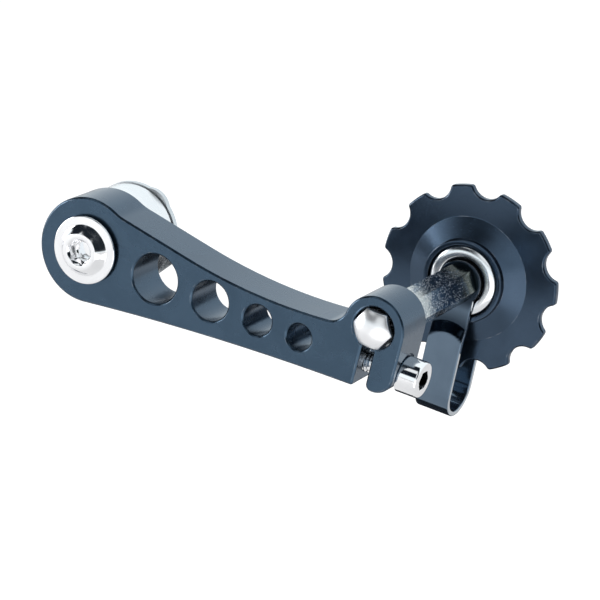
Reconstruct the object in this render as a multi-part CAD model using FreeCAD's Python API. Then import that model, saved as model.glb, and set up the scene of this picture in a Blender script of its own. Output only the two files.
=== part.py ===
import FreeCAD, Part
import math
import os

# Chain tensioner for a bicycle with one sprocket. Sizes are in millimetres and degrees.
# The origin is the centre of the face that seats on the frame's hanger, on the hanger bolt's axis.
# +X runs along the arm to the pulley axle, +Y from the outside in to the wheel, and +Z is up.

# Clearances, per side
face_gap = 0.05  # flat faces that turn on each other
turn_gap = 0.05  # round parts that turn on each other
slide_gap = 0.08  # corners of the axle in the clamp bore
thread_gap = 0.02  # screw in its tapped hole
bolt_gap = 0.10  # screw in a plain hole
ball_gap = 0.03  # ball in its track
pocket_gap = 0.06  # ball in its cage

# Arm plate
arm_span = 71.0  # hanger bolt axis to axle axis
arm_thick = 11.5
end_radius = 12.0
end_drop = 0.35  # centre of the round end under the hanger bolt axis
boss_radius = 7.1
waist_low = -0.85  # height of the upper edge where it runs level, beside the boss
waist_pitch = 16.2  # slope of the straight part of the upper edge
neck_radius = 10.0  # hollow between the round end and the upper edge
neck_turn = 59.4  # place of that hollow round the hanger bolt, from +X up
saddle_radius = 4.2  # hollow between the upper edge and the boss
belly_bow = 0.9  # rise of the lower edge over its chord
arm_edge = 0.4  # chamfer round both faces
lightening_radii = [5.6, 4.5, 3.45, 2.95]
lightening_web = 3.15  # metal between two chamfered holes
lightening_start = 17.7  # hanger bolt axis to the first hole
lightening_drop = 0.6  # line of the holes under the hanger bolt axis
lightening_pitch = 6.2  # slope of that line

# Split clamp at the axle end, turned about the axle
clamp_tilt = 6.5
slit_arm_side = 1.65  # slit wall from the axle axis, towards the arm
slit_ear_side = 1.3  # slit wall from the axle axis, towards the ear
jaw_depth = 14.0  # axle axis to the corner of the arm beside the slit
ear_depth = 13.7  # axle axis to the foot of the ear
ear_round = 4.2
ear_corner = 1.4
jaw_corner = 0.6

# Pinch screw, M5, across the slit
pinch_tilt = 4.5  # the screw is turned about the axle a little less than the slit
pinch_drop = 9.45  # axle axis to screw axis
pinch_seat = 6.45  # axle axis to the spot face in the ear
pinch_spot_radius = 4.6
pinch_length = 16.0
pinch_hole_spare_length = 2.3  # tapped hole beyond the end of the screw
screw_radius = 2.5
cap_head_radius = 4.1
cap_head_height = 5.0
cap_head_round = 0.5
cap_socket_flats = 4.0
cap_socket_depth = 2.6
screw_end_chamfer = 0.5

# Hanger bolt, M10
hanger_radius = 5.0
hanger_thread_length = 10.0
hanger_end_chamfer = 0.7
hanger_relief_radius = 4.3
hanger_relief_length = 1.2
flange_radius = 7.75
flange_thick = 1.3
flange_round = 0.55
head_radius = 5.8
head_height = 2.1
head_top_radius = 4.15
head_socket_flats = 5.0
head_socket_depth = 2.6
head_socket_rim = 3.1
head_socket_turn = 10.0
head_pilot_radius = 2.2
head_pilot_depth = 0.8

# Spacer and stop plate between the arm and the frame's hanger
plate_thick = 1.4
plate_lip = 0.25  # stop plate beyond the spacer
lobe_radius = 4.75
lobe_offset = 7.3
lobe_turn = 58.4
lug_half_width = 3.0
lug_length = 6.5
lug_turn = -46.0
tab_width = 3.6
tab_height = 3.0
spacer_length = 7.9
spacer_radius = 11.1
spacer_edge = 0.3
groove_length = 0.5
groove_radius = 10.3

# Hexagonal axle
axle_flats = 8.0
hexagon_turn = 7.0
axle_front_length = 0.1  # full hexagon in front of the arm
axle_length = 43.6  # full hexagon with its rear chamfer
dome_height = 2.3
dome_base_radius = 4.75
axle_rear_chamfer = 0.5
axle_tap_spare_length = 3.0

# Bearing, 8 x 16 x 5
sleeve_radius = 4.0
bearing_radius = 8.0
bearing_width = 5.0
ring_land_inner = 5.2
ring_land_outer = 6.8
ring_edge = 0.2
ball_radius = 1.0
ball_count = 9
cage_half_band = 0.45
cage_half_width = 1.3
shield_thick = 0.25
shield_sink = 0.1
shield_seat = 0.35  # radial depth of its seat in the outer ring
shield_gap = 0.12

# Dished dust caps and shims on the sleeve
cap_seat_radius = 5.2
cap_seat_height = 0.95
cap_sheet = 0.55
cap_lip_radius = 8.15
cap_lip_width = 0.6
cap_lip_height = 2.0  # lip above the face of the bearing
shim_radius = 5.1
shim_thick = 1.3

# Pulley
tooth_count = 11
tip_radius = 21.5
valley_radius = 3.8
tooth_height = 2.5
tip_round = 0.8
tooth_turn = 12.08
rim_thick = 1.9
rim_edge = 0.35
cone_outer_radius = 14.3
cone_inner_radius = 9.65
cone_height = 1.85
hub_width = 8.8
hub_edge_width = 0.22
hub_edge_height = 0.5
recess_gap = 0.25  # dust cap lip to the wall of its recess

# Guide strap round the chain
strap_thick = 1.2
strap_width = 8.4
eye_radius = 5.2
strap_drop = 26.7  # axle axis to the centre of the bend
strap_lean = 4.8
strap_edge = 0.25

# Axle bolt, M5 with a button head, and its washer
axle_bolt_length = 25.0
button_radius = 4.75
button_height = 2.75
button_top_radius = 2.6
button_socket_flats = 3.0
button_socket_depth = 1.6
washer_radius = 5.0
washer_thick = 1.0

# Places along Y, from the hanger outwards
plate_front = -plate_thick
spacer_front = plate_front - spacer_length
arm_rear = spacer_front - face_gap
arm_front = arm_rear - arm_thick
arm_middle = arm_front + arm_thick / 2
flange_rear = arm_front - face_gap
flange_front = flange_rear - flange_thick
head_front = flange_front - head_height

# Places along Y, from the clamp inwards
hex_front = arm_front - axle_front_length
axle_rear = hex_front + axle_length
strap_front = axle_rear + face_gap
cap_floor = bearing_width / 2 + cap_seat_height
strap_half_gap = cap_floor + shim_thick + face_gap
pulley_middle = strap_front + strap_thick + strap_half_gap
strap_rear = pulley_middle + strap_half_gap + strap_thick
washer_front = strap_rear + face_gap
bolt_seat = washer_front + washer_thick

# Radii that follow from others
hexagon_sides = 6
hexagon_corner = 1 / math.cos(math.pi / hexagon_sides)
clamp_bore = axle_flats / 2 * hexagon_corner + slide_gap
ball_pitch = (ring_land_inner + ring_land_outer) / 2
recess_radius = cap_lip_radius + recess_gap
plate_radius = spacer_radius + plate_lip
valley_offset = tip_radius - tooth_height + valley_radius
full_turn = 360
half_turn = full_turn / 2
quarter_turn = full_turn / 4

up = FreeCAD.Vector(0, 0, 1)
along = FreeCAD.Vector(1, 0, 0)
inward = FreeCAD.Vector(0, 1, 0)
hanger_centre = FreeCAD.Vector(0, 0, 0)
end_centre = FreeCAD.Vector(0, 0, -end_drop)
axle_centre = FreeCAD.Vector(arm_span, 0, 0)


def spot(x, z, y=0):
    return FreeCAD.Vector(x, y, z)


# A point at an angle round a centre, counted from +X towards +Z
def polar(centre, radius, angle):
    turn = math.radians(angle)
    return centre + spot(radius * math.cos(turn), radius * math.sin(turn))


def arc(centre, radius, start, end):
    middle = (start + end) / 2
    places = [polar(centre, radius, angle) for angle in (start, middle, end)]
    return Part.Arc(*places).toShape()


def disc(centre, radius, front, rear):
    return Part.makeCylinder(radius, rear - front, centre + inward * front, inward)


def tube(centre, inner, outer, front, rear):
    return disc(centre, outer, front, rear).cut(disc(centre, inner, front, rear))


# A solid turned about an axis along Y, from corners given as radius and depth
def turned(centre, corners):
    places = [centre + FreeCAD.Vector(radius, depth, 0) for radius, depth in corners]
    profile = Part.Face(Part.makePolygon(places + places[:1]))
    return profile.revolve(centre, inward, full_turn)


# A hexagonal bar along Y with one flat facing up
def hexagon(centre, flats, front, rear):
    corner = flats / 2 * hexagon_corner
    step = full_turn / hexagon_sides
    places = [polar(centre, corner, number * step) + inward * front for number in range(hexagon_sides)]
    return Part.Face(Part.makePolygon(places + places[:1])).extrude(inward * (rear - front))


# A turn about Y takes up towards +X
def spun(shape, centre, angle):
    return shape.rotated(centre, inward, angle)


# The straight edges along Y that stand at the given places
def upright_edges(shape, places):
    reach = arm_edge / 4
    found = []
    for edge in shape.Edges:
        ends = [edge.Vertexes[0].Point, edge.Vertexes[-1].Point]
        for place in places:
            if all(end.distanceToLine(place, inward) < reach for end in ends):
                found.append(edge)
    return found


# The edges that lie in a plane across Y
def edges_at_depth(shape, depth):
    return [edge for edge in shape.Edges if all(abs(v.Point.y - depth) < face_gap / 4 for v in edge.Vertexes)]


# A place in the clamp, given across from the axle axis and down, both before the clamp's tilt
def clamp_spot(across, down):
    return spun(Part.Vertex(arm_span + across, 0, -down), axle_centre, clamp_tilt).Point


# The upper edge from the round end to the boss: two straight runs with a long bend between them
def waist_edges():
    down = full_turn - quarter_turn
    slope = down - waist_pitch
    saddle_height = waist_low + saddle_radius
    saddle_run = math.sqrt((boss_radius + saddle_radius) ** 2 - saddle_height ** 2)
    saddle = spot(arm_span - saddle_run, saddle_height)
    boss_angle = math.degrees(math.atan2(saddle_height, -saddle_run))
    neck = polar(end_centre, end_radius + neck_radius, neck_turn)
    straight_start = polar(neck, neck_radius, slope)
    corner_x = straight_start.x + (straight_start.z - waist_low) / math.tan(math.radians(waist_pitch))
    waist_radius = (saddle.x - corner_x) / math.tan(math.radians(waist_pitch / 2))
    waist = spot(saddle.x, waist_low + waist_radius)
    return [
        arc(end_centre, end_radius, down, neck_turn),
        arc(neck, neck_radius, neck_turn + half_turn, slope),
        Part.makeLine(straight_start, polar(waist, waist_radius, slope)),
        arc(waist, waist_radius, slope, down),
        arc(saddle, saddle_radius, down, boss_angle + half_turn),
        arc(axle_centre, boss_radius, boss_angle, -clamp_tilt),
    ]


def clamp_edges():
    ear_top = clamp_spot(boss_radius, 0)
    ear_outer = clamp_spot(boss_radius, ear_depth)
    ear_inner = clamp_spot(slit_ear_side, ear_depth)
    right_angle = -math.degrees(math.acos(slit_ear_side / clamp_bore)) - clamp_tilt
    left_angle = half_turn + math.degrees(math.acos(slit_arm_side / clamp_bore)) - clamp_tilt
    bore_right = polar(axle_centre, clamp_bore, right_angle)
    bore_left = polar(axle_centre, clamp_bore, left_angle)
    jaw = clamp_spot(-slit_arm_side, jaw_depth)
    return [
        Part.makeLine(ear_top, ear_outer),
        Part.makeLine(ear_outer, ear_inner),
        Part.makeLine(ear_inner, bore_right),
        arc(axle_centre, clamp_bore, right_angle, left_angle),
        Part.makeLine(bore_left, jaw),
    ]


def belly_edge():
    jaw = clamp_spot(-slit_arm_side, jaw_depth)
    foot = end_centre - up * end_radius
    middle = (jaw + foot) / 2 + up * belly_bow
    return Part.Arc(jaw, middle, foot).toShape()


def lightening_places():
    places = []
    run = lightening_start
    for number, radius in enumerate(lightening_radii):
        if number:
            run += lightening_radii[number - 1] + radius + 2 * arm_edge + lightening_web
        places.append(spot(run, -lightening_drop - run * math.tan(math.radians(lightening_pitch))))
    return places


def arm():
    outline = Part.Face(Part.Wire(waist_edges() + clamp_edges() + [belly_edge()]))
    plate = outline.extrude(inward * arm_thick)
    plate.translate(inward * arm_front)
    plate = plate.makeFillet(ear_round, upright_edges(plate, [clamp_spot(boss_radius, ear_depth)]))
    plate = plate.makeFillet(ear_corner, upright_edges(plate, [clamp_spot(slit_ear_side, ear_depth)]))
    plate = plate.makeFillet(jaw_corner, upright_edges(plate, [clamp_spot(-slit_arm_side, jaw_depth)]))
    plate = plate.cut(disc(hanger_centre, hanger_radius + turn_gap, arm_front, arm_rear))
    for place, radius in zip(lightening_places(), lightening_radii):
        plate = plate.cut(disc(place, radius, arm_front, arm_rear))
    rims = edges_at_depth(plate, arm_front) + edges_at_depth(plate, arm_rear)
    plate = plate.makeChamfer(arm_edge, rims)
    return plate.cut(pinch_bores())


# A round bar across the clamp, along the pinch screw's axis
def pinch_bar(radius, start, end):
    base = FreeCAD.Vector(arm_span + start, arm_middle, -pinch_drop)
    return spun(Part.makeCylinder(radius, end - start, base, along), axle_centre, pinch_tilt)


def pinch_bores():
    tip = pinch_seat - pinch_length
    head = pinch_seat + cap_head_height
    tapped = pinch_bar(screw_radius + thread_gap, tip - pinch_hole_spare_length, 0)
    plain = pinch_bar(screw_radius + bolt_gap, 0, head)
    facing = pinch_bar(pinch_spot_radius, pinch_seat, head)
    return tapped.fuse([plain, facing])


# A hexagon socket screw along Y with its seat at zero and its head towards -Y
def cap_screw(length):
    shank = disc(hanger_centre, screw_radius, 0, length)
    shank = shank.makeChamfer(screw_end_chamfer, edges_at_depth(shank, length))
    head = disc(hanger_centre, cap_head_radius, -cap_head_height, 0)
    head = head.makeFillet(cap_head_round, edges_at_depth(head, -cap_head_height))
    socket = hexagon(hanger_centre, cap_socket_flats, -cap_head_height, cap_socket_depth - cap_head_height)
    return head.cut(socket).fuse(shank).removeSplitter()


def pinch_bolt():
    screw = cap_screw(pinch_length)
    screw.rotate(hanger_centre, up, quarter_turn)
    screw.translate(FreeCAD.Vector(arm_span + pinch_seat, arm_middle, -pinch_drop))
    return spun(screw, axle_centre, pinch_tilt)


# A button head that stands along Y from its seat to its top: a slice of a ball
def button_head(centre, radius, top_radius, seat, top):
    height = top - seat
    rise = (radius ** 2 - top_radius ** 2 - height ** 2) / (2 * height)
    ball = Part.makeSphere(math.hypot(radius, rise), centre + inward * (seat - rise))
    return ball.common(disc(centre, radius, min(seat, top), max(seat, top)))


def hanger_bolt():
    shank = turned(hanger_centre, [
        (0, flange_rear),
        (hanger_radius, flange_rear),
        (hanger_radius, -hanger_relief_length),
        (hanger_relief_radius, -hanger_relief_length),
        (hanger_relief_radius, 0),
        (hanger_radius, 0),
        (hanger_radius, hanger_thread_length - hanger_end_chamfer),
        (hanger_radius - hanger_end_chamfer, hanger_thread_length),
        (0, hanger_thread_length),
    ])
    flange = disc(hanger_centre, flange_radius, flange_front, flange_rear)
    flange = flange.makeFillet(flange_round, edges_at_depth(flange, flange_front))
    head = button_head(hanger_centre, head_radius, head_top_radius, flange_front, head_front)
    return head.fuse([flange, shank]).removeSplitter().cut(hanger_socket())


def hanger_socket():
    floor = head_front + head_socket_depth
    socket = hexagon(hanger_centre, head_socket_flats, head_front, floor)
    socket = spun(socket, hanger_centre, head_socket_turn)
    inner = head_socket_flats / 2
    rim = Part.makeCone(head_socket_rim, inner, head_socket_rim - inner, inward * head_front, inward)
    pilot = disc(hanger_centre, head_pilot_radius, head_front, floor + head_pilot_depth)
    return socket.fuse([rim, pilot])


def spacer():
    bore = hanger_radius + turn_gap
    groove_front = plate_front - groove_length
    return turned(hanger_centre, [
        (bore, spacer_front),
        (spacer_radius - spacer_edge, spacer_front),
        (spacer_radius, spacer_front + spacer_edge),
        (spacer_radius, groove_front),
        (groove_radius, groove_front),
        (groove_radius, plate_front),
        (bore, plate_front),
    ])


def stop_plate():
    plate = disc(hanger_centre, plate_radius, plate_front, 0)
    lobe = disc(polar(hanger_centre, lobe_offset, lobe_turn), lobe_radius, plate_front, 0)
    root = FreeCAD.Vector(0, plate_front, -plate_radius)
    lug = Part.makeBox(lug_length, plate_thick, 2 * lug_half_width, root)
    end = disc(spot(lug_length, lug_half_width - plate_radius), lug_half_width, plate_front, 0)
    tab_root = FreeCAD.Vector(lug_length + lug_half_width - plate_thick, plate_front,
                              lug_half_width - plate_radius - tab_width / 2)
    tab = Part.makeBox(plate_thick, plate_thick + tab_height, tab_width, tab_root)
    lug = spun(lug.fuse([end, tab]), hanger_centre, -lug_turn - quarter_turn)
    bore = disc(hanger_centre, hanger_radius + turn_gap, plate_front, 0)
    return plate.fuse([lobe, lug]).cut(bore).removeSplitter()


def hex_axle():
    tip = hex_front - dome_height
    bar = spun(hexagon(axle_centre, axle_flats, tip, axle_rear), axle_centre, hexagon_turn)
    dome_radius = (dome_base_radius ** 2 + dome_height ** 2) / (2 * dome_height)
    ball = Part.makeSphere(dome_radius, axle_centre + inward * (tip + dome_radius))
    nose = ball.common(disc(axle_centre, dome_base_radius, tip, hex_front))
    corner = axle_flats / 2 * hexagon_corner
    body = disc(axle_centre, dome_base_radius, hex_front, axle_rear - axle_rear_chamfer)
    tail = Part.makeCone(corner, corner - axle_rear_chamfer, axle_rear_chamfer,
                         axle_centre + inward * (axle_rear - axle_rear_chamfer), inward)
    thread_end = bolt_seat - axle_bolt_length - axle_tap_spare_length
    tapped = disc(axle_centre, screw_radius + thread_gap, thread_end, axle_rear)
    return bar.common(nose.fuse([body, tail])).cut(tapped)


def guide_strap():
    front, rear = strap_front, strap_rear
    inner_front, inner_rear = front + strap_thick, rear - strap_thick
    outer_bend = (rear - front) / 2
    inner_bend = outer_bend - strap_thick
    bend = -strap_drop
    outer_arc = Part.Arc(FreeCAD.Vector(0, front, bend),
                         FreeCAD.Vector(0, pulley_middle, bend - outer_bend),
                         FreeCAD.Vector(0, rear, bend))
    inner_arc = Part.Arc(FreeCAD.Vector(0, inner_rear, bend),
                         FreeCAD.Vector(0, pulley_middle, bend - inner_bend),
                         FreeCAD.Vector(0, inner_front, bend))
    side = [
        Part.makeLine(FreeCAD.Vector(0, front, 0), FreeCAD.Vector(0, front, bend)),
        outer_arc.toShape(),
        Part.makeLine(FreeCAD.Vector(0, rear, bend), FreeCAD.Vector(0, rear, 0)),
        Part.makeLine(FreeCAD.Vector(0, rear, 0), FreeCAD.Vector(0, inner_rear, 0)),
        Part.makeLine(FreeCAD.Vector(0, inner_rear, 0), FreeCAD.Vector(0, inner_rear, bend)),
        inner_arc.toShape(),
        Part.makeLine(FreeCAD.Vector(0, inner_front, bend), FreeCAD.Vector(0, inner_front, 0)),
        Part.makeLine(FreeCAD.Vector(0, inner_front, 0), FreeCAD.Vector(0, front, 0)),
    ]
    band = Part.Face(Part.Wire(side)).extrude(along * strap_width)
    band.translate(along * (arm_span - strap_width / 2))
    front_eye = disc(axle_centre, eye_radius, front, inner_front)
    rear_eye = disc(axle_centre, eye_radius, inner_rear, rear)
    band = band.fuse([front_eye, rear_eye]).removeSplitter()
    band = band.makeFillet(strap_edge, strap_rims(band))
    band = band.cut(disc(axle_centre, screw_radius + bolt_gap, front, rear))
    return spun(band, axle_centre, strap_lean)


# The edges round both faces of the strap, its two eyes included
def strap_rims(band):
    eye_start = -math.sqrt(eye_radius ** 2 - (strap_width / 2) ** 2)
    rims = []
    for edge in band.Edges:
        box = edge.BoundBox
        narrow = max(box.XLength, box.ZLength) < strap_edge
        across_the_sheet = narrow and box.YLength > strap_thick / 2
        across_the_band = box.XLength > strap_width / 2 and box.ZMax < eye_start
        if not across_the_sheet and not across_the_band:
            rims.append(edge)
    return rims


def axle_washer():
    return tube(axle_centre, screw_radius + bolt_gap, washer_radius, washer_front, bolt_seat)


def axle_bolt():
    shank_front = bolt_seat - axle_bolt_length
    shank = disc(axle_centre, screw_radius, shank_front, bolt_seat)
    shank = shank.makeChamfer(screw_end_chamfer, edges_at_depth(shank, shank_front))
    head_rear = bolt_seat + button_height
    head = button_head(axle_centre, button_radius, button_top_radius, bolt_seat, head_rear)
    socket = hexagon(axle_centre, button_socket_flats, head_rear - button_socket_depth, head_rear)
    return head.cut(socket).fuse(shank).removeSplitter()


def sleeve():
    half = strap_half_gap - face_gap
    front, rear = pulley_middle - half, pulley_middle + half
    return tube(axle_centre, screw_radius + turn_gap, sleeve_radius, front, rear)


# A piece on the wheel side is the mirror image of the one on the outer side
def mirrored(shape):
    return shape.mirror(axle_centre + inward * pulley_middle, inward)


def front_shim():
    rear = pulley_middle - cap_floor
    return tube(axle_centre, sleeve_radius + turn_gap, shim_radius, rear - shim_thick, rear)


def front_cap():
    bore = sleeve_radius + turn_gap
    face = pulley_middle - bearing_width / 2
    floor = face - cap_seat_height
    lip = face - cap_lip_height
    lip_inner = cap_lip_radius - cap_lip_width
    return turned(axle_centre, [
        (bore, face),
        (cap_seat_radius, face),
        (cap_seat_radius, floor + cap_sheet),
        (lip_inner, lip + cap_sheet),
        (cap_lip_radius, lip + cap_sheet),
        (cap_lip_radius, lip),
        (lip_inner, lip),
        (shim_radius, floor),
        (bore, floor),
    ])


# The track that the balls run in, cut from both rings
def ball_track():
    track = Part.makeTorus(ball_pitch, ball_radius + ball_gap, axle_centre, inward)
    track.translate(inward * pulley_middle)
    return track


def bearing_inner_ring():
    front, rear = pulley_middle - bearing_width / 2, pulley_middle + bearing_width / 2
    ring = turned(axle_centre, [
        (sleeve_radius, front),
        (ring_land_inner - ring_edge, front),
        (ring_land_inner, front + ring_edge),
        (ring_land_inner, rear - ring_edge),
        (ring_land_inner - ring_edge, rear),
        (sleeve_radius, rear),
    ])
    return ring.cut(ball_track())


def bearing_outer_ring():
    front, rear = pulley_middle - bearing_width / 2, pulley_middle + bearing_width / 2
    seat = shield_sink + shield_thick
    seat_radius = ring_land_outer + shield_seat
    ring = turned(axle_centre, [
        (seat_radius, front),
        (bearing_radius - ring_edge, front),
        (bearing_radius, front + ring_edge),
        (bearing_radius, rear - ring_edge),
        (bearing_radius - ring_edge, rear),
        (seat_radius, rear),
        (seat_radius, rear - seat),
        (ring_land_outer, rear - seat),
        (ring_land_outer, front + seat),
        (seat_radius, front + seat),
    ])
    return ring.cut(ball_track())


def front_shield():
    front = pulley_middle - bearing_width / 2 + shield_sink
    outer = ring_land_outer + shield_seat - thread_gap
    return tube(axle_centre, ring_land_inner + shield_gap, outer, front, front + shield_thick)


def ball(number):
    place = polar(axle_centre, ball_pitch, number * full_turn / ball_count)
    return Part.makeSphere(ball_radius, place + inward * pulley_middle)


def cage():
    band = tube(axle_centre, ball_pitch - cage_half_band, ball_pitch + cage_half_band,
                pulley_middle - cage_half_width, pulley_middle + cage_half_width)
    for number in range(ball_count):
        angle = number * full_turn / ball_count
        root = polar(axle_centre, ball_pitch - ball_radius, angle) + inward * pulley_middle
        outward = polar(hanger_centre, 1, angle)
        band = band.cut(Part.makeCylinder(ball_radius + pocket_gap, 2 * ball_radius, root, outward))
    return band


def pulley_blank():
    seat, hub = bearing_width / 2, hub_width / 2
    rim, cone = rim_thick / 2, rim_thick / 2 + cone_height
    side = [
        (bearing_radius, seat),
        (recess_radius, seat),
        (recess_radius, hub),
        (cone_inner_radius - hub_edge_width, hub),
        (cone_inner_radius, hub - hub_edge_height),
        (cone_inner_radius, cone),
        (cone_outer_radius, rim),
        (tip_radius, rim),
    ]
    rear = [(radius, pulley_middle + height) for radius, height in side]
    front = [(radius, pulley_middle - height) for radius, height in reversed(side)]
    return turned(axle_centre, rear + front)


def pulley():
    wheel = pulley_blank()
    front, rear = pulley_middle - rim_thick / 2, pulley_middle + rim_thick / 2
    pitch = full_turn / tooth_count
    spread = (valley_offset ** 2 + tip_radius ** 2 - valley_radius ** 2) / (2 * valley_offset * tip_radius)
    valley_angle = math.degrees(math.acos(spread))
    corners = []
    for number in range(tooth_count):
        angle = number * pitch
        wheel = wheel.cut(disc(polar(axle_centre, valley_offset, angle), valley_radius, front, rear))
        corners += [polar(axle_centre, tip_radius, angle + side * valley_angle) for side in (-1, 1)]
    wheel = wheel.makeFillet(tip_round, upright_edges(wheel, corners))
    outline = []
    for edge in edges_at_depth(wheel, front) + edges_at_depth(wheel, rear):
        if edge.CenterOfMass.distanceToLine(axle_centre, inward) > cone_outer_radius:
            outline.append(edge)
    wheel = wheel.makeChamfer(rim_edge, outline)
    return spun(wheel, axle_centre, tooth_turn)


pieces = {
    "hanger_bolt": hanger_bolt(),
    "spacer": spacer(),
    "stop_plate": stop_plate(),
    "arm": arm(),
    "pinch_bolt": pinch_bolt(),
    "hex_axle": hex_axle(),
    "guide_strap": guide_strap(),
    "axle_bolt": axle_bolt(),
    "axle_washer": axle_washer(),
    "sleeve": sleeve(),
    "front_shim": front_shim(),
    "rear_shim": mirrored(front_shim()),
    "front_cap": front_cap(),
    "rear_cap": mirrored(front_cap()),
    "bearing_inner_ring": bearing_inner_ring(),
    "bearing_outer_ring": bearing_outer_ring(),
    "front_shield": front_shield(),
    "rear_shield": mirrored(front_shield()),
    "cage": cage(),
    "pulley": pulley(),
}
for number in range(ball_count):
    pieces[f"ball_{number + 1}"] = ball(number)

os.makedirs("parts", exist_ok=True)
for name, shape in pieces.items():
    shape.exportStep(f"parts/{name}.step")
    print(name, "solids", len(shape.Solids), "valid", shape.isValid(), "volume", round(shape.Volume, 1))
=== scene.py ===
import math

import bmesh
import bpy
from mathutils import Matrix, Vector


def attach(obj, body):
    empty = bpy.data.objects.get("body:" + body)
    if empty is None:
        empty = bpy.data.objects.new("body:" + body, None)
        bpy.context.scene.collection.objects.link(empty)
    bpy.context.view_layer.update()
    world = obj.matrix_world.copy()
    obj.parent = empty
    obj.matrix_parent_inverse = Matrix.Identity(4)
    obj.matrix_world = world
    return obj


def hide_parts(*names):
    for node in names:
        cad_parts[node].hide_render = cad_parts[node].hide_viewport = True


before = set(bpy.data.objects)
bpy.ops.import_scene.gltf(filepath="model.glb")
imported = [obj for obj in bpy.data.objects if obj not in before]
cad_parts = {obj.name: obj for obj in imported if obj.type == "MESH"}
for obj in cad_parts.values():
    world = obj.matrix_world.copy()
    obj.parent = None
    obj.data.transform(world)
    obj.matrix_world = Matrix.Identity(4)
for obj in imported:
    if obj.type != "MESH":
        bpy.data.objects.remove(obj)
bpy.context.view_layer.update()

# A chain tensioner for a bicycle with one sprocket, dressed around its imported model.
# Everything is in metres in the model's frame: the hanger seat is the origin, +X runs to the pulley, +Z is up.
# The dictionaries give millimetres and degrees.
scene = bpy.context.scene
mm = 0.001
inward = Vector((0, 1, 0))
places = {"hanger": (0.0, 0.0, 0.0), "axle": (71.0, 0.0, 0.0), "wheel": (71.0, 28.7, 0.0)}

# Angles tell an edge from a curve, and points nearer than a weld distance become one
meshing = {
    "crease": 38.0, "flat": 0.3, "packedEdge": 28.0, "turnedEdge": 21.0, "wheelEdge": 18.0,
    "packedWeld": 0.0005, "boreWeld": 0.001, "cutWeld": 0.001, "threadWeld": 0.002,
}


def toRadians(turn):
    return [math.radians(angle) for angle in turn]


def fractions(start, end, count):
    return [start + (end - start) * number / count for number in range(count + 1)]


# Meshes
def meshObject(name, bm):
    mesh = bpy.data.meshes.new(name)
    bm.to_mesh(mesh)
    bm.free()
    made = bpy.data.objects.new(name, mesh)
    scene.collection.objects.link(made)
    return made


def newPiece(name, bm):
    for face in bm.faces:
        face.smooth = True
    piece = meshObject(name, bm)
    piece.data.set_sharp_from_angle(angle=math.radians(meshing["crease"]))
    flatten = piece.modifiers.new("flatFaces", "WEIGHTED_NORMAL")
    flatten.keep_sharp = True
    return piece


# Every edge sharper than the limit is rounded off, and its new faces are marked for wear
def roundEdges(bm, edge, limit, steps):
    rubbed = bm.faces.layers.float.get("edge") or bm.faces.layers.float.new("edge")
    sharp = [e for e in bm.edges if e.is_manifold and e.calc_face_angle(0) > math.radians(limit)]
    rounded = bmesh.ops.bevel(
        bm, geom=sharp, offset=edge * mm, offset_type="OFFSET", segments=steps,
        profile=0.5, affect="EDGES", material=-1, clamp_overlap=True,
    )
    for face in rounded["faces"]:
        face[rubbed] = 1.0


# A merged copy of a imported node
def mergedCopy(node):
    bm = bmesh.new()
    bm.from_mesh(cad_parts[node].data)
    bmesh.ops.remove_doubles(bm, verts=bm.verts, dist=meshing["packedWeld"] * mm)
    return bm


def dissolveFlat(bm):
    bmesh.ops.dissolve_limit(bm, angle_limit=math.radians(meshing["flat"]), verts=bm.verts, edges=bm.edges)


# A merged copy with rounded edges. Where it is given a shaping, that is done before the rounding.
def softened(node, edge, shaping=None, steps=2):
    bm = mergedCopy(node)
    dissolveFlat(bm)
    if shaping:
        shaping(bm)
    roundEdges(bm, edge, meshing["packedEdge"], steps)
    return bm


# The radius of a ring at an angle: round at zero, six-sided at one, with its corners at the turn
def ringRadius(size, sixSided, angle, turn):
    offset = (angle - turn) % math.radians(60) - math.radians(30)
    return size / math.cos(offset) ** sixSided


# Moves the points of a rim out to a ring. Its height may follow the radius.
def fitRing(verts, ring, turn):
    size, sixSided, height = ring
    for vert in verts:
        angle = math.atan2(vert.co.z, vert.co.x)
        radius = ringRadius(size, sixSided, angle, turn)
        level = height(radius) if callable(height) else height
        vert.co = Vector((radius * math.cos(angle), level, radius * math.sin(angle))) * mm


# Carries an open rim on along Y from ring to ring, and gives back the last one. The turn is in radians.
def addRings(bm, rim, rings, turn=0.0):
    for ring in rings:
        grown = bmesh.ops.extrude_edge_only(bm, edges=rim)["geom"]
        verts = [item for item in grown if isinstance(item, bmesh.types.BMVert)]
        edges = [item for item in grown if isinstance(item, bmesh.types.BMEdge)]
        fresh = set(verts)
        rim = [edge for edge in edges if fresh.issuperset(edge.verts)]
        fitRing(verts, ring, turn)
    return rim


# A shell round the local Y axis. Its two ends close with a flat face, or on each other when it has a bore.
def ringStack(rings, edge, turn=0.0, bore=False, steps=3, points=96):
    bm = bmesh.new()
    lying = Matrix.Rotation(-math.radians(turn), 4, "Y") @ Matrix.Rotation(math.radians(90), 4, "X")
    bmesh.ops.create_circle(bm, cap_ends=False, segments=points, radius=1.0, matrix=lying)
    first = bm.edges[:]
    fitRing(bm.verts, rings[0], math.radians(turn))
    last = addRings(bm, first, rings[1:], math.radians(turn))
    if bore:
        bmesh.ops.remove_doubles(bm, verts=bm.verts, dist=meshing["boreWeld"] * mm)
    else:
        bmesh.ops.contextual_create(bm, geom=first)
        bmesh.ops.contextual_create(bm, geom=last)
    bmesh.ops.recalc_face_normals(bm, faces=bm.faces)
    roundEdges(bm, edge, meshing["turnedEdge"], steps)
    return bm


# The height of a ball's surface over its radius, on the side of its centre that the sign gives
def ballSurface(ballRadius, centre, side):
    return lambda radius: centre + side * math.sqrt(ballRadius ** 2 - radius ** 2)


# Rings along a slice of a ball, one for each size
def ballRings(ballRadius, centre, side, sizes):
    return [(size, 0, ballSurface(ballRadius, centre, side)) for size in sizes]


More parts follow.
